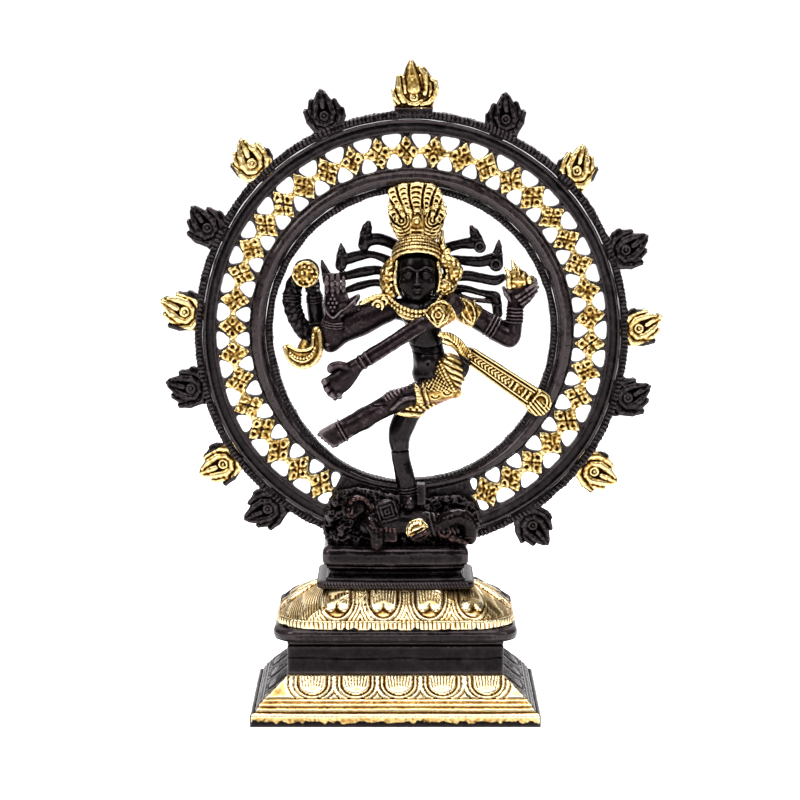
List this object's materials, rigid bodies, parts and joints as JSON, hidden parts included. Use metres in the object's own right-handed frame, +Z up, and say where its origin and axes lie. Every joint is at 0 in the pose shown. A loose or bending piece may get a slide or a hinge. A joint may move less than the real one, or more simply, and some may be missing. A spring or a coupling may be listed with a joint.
{
  "type": "brass nataraja statue",
  "caption": "Cast brass dancing figure inside a ring of flames, standing on a dwarf and a tiered lotus pedestal, in dark patina with polished relief.",
  "frame": {"origin": "middle of the foot's rectangle, on the surface that the statue stands on", "axes": "+Z up, +X to the right of someone facing the statue, +Y towards its back; the statue faces -Y"},
  "size_m": [0.1825, 0.064, 0.24],
  "materials": {
    "dark_patina": "brass with a glossy black-brown patina, rubbed reddish on the high places",
    "polished_brass": "polished brass relief with dark patina left in the recesses",
    "plated_steel": "dull zinc plate"
  },
  "bodies": {
    "root": {"cornice_slab": "dark_patina", "crown_fan": "polished_brass", "dhoti": "polished_brass", "diadem": "polished_brass", "drum": "polished_brass", "dwarf_arm": "dark_patina", "dwarf_body": "dark_patina", "dwarf_head": "dark_patina", "dwarf_legs": "dark_patina", "dwarf_ornament": "polished_brass", "fan_arms_left": "dark_patina", "fan_arms_right": "dark_patina", "fire_bowl": "polished_brass", "fixing_nut": "plated_steel", "fixing_stud": "plated_steel", "fixing_washer": "plated_steel", "flame_01": "polished_brass", "flame_02": "dark_patina", "flame_03": "polished_brass", "flame_04": "dark_patina", "flame_05": "polished_brass", "flame_06": "dark_patina", "flame_07": "polished_brass", "flame_08": "dark_patina", "flame_09": "dark_patina", "flame_10": "polished_brass", "flame_11": "dark_patina", "flame_12": "polished_brass", "flame_13": "dark_patina", "flame_14": "polished_brass", "flame_15": "dark_patina", "front_left_arm": "dark_patina", "front_left_armlet": "polished_brass", "front_right_arm": "dark_patina", "hair_lock_left": "polished_brass", "hair_lock_right": "polished_brass", "head": "dark_patina", "inner_hoop": "dark_patina", "inner_rope_edge": "dark_patina", "lattice_links": "dark_patina", "lattice_rosettes": "polished_brass", "lotus_cushion": "polished_brass", "lotus_plinth": "polished_brass", "necklace": "polished_brass", "outer_hoop": "dark_patina", "outer_rope_edge": "dark_patina", "pedestal_cap": "dark_patina", "pedestal_neck": "dark_patina", "plinth_die": "dark_patina", "raised_leg": "dark_patina", "rear_left_arm": "dark_patina", "rear_left_armlet": "polished_brass", "rear_right_arm": "dark_patina", "rockwork_mound": "dark_patina", "rope_collar": "dark_patina", "sash": "polished_brass", "serpent_body": "dark_patina", "serpent_head": "polished_brass", "standing_leg": "dark_patina", "torso": "dark_patina"}
  },
  "joints": []
}
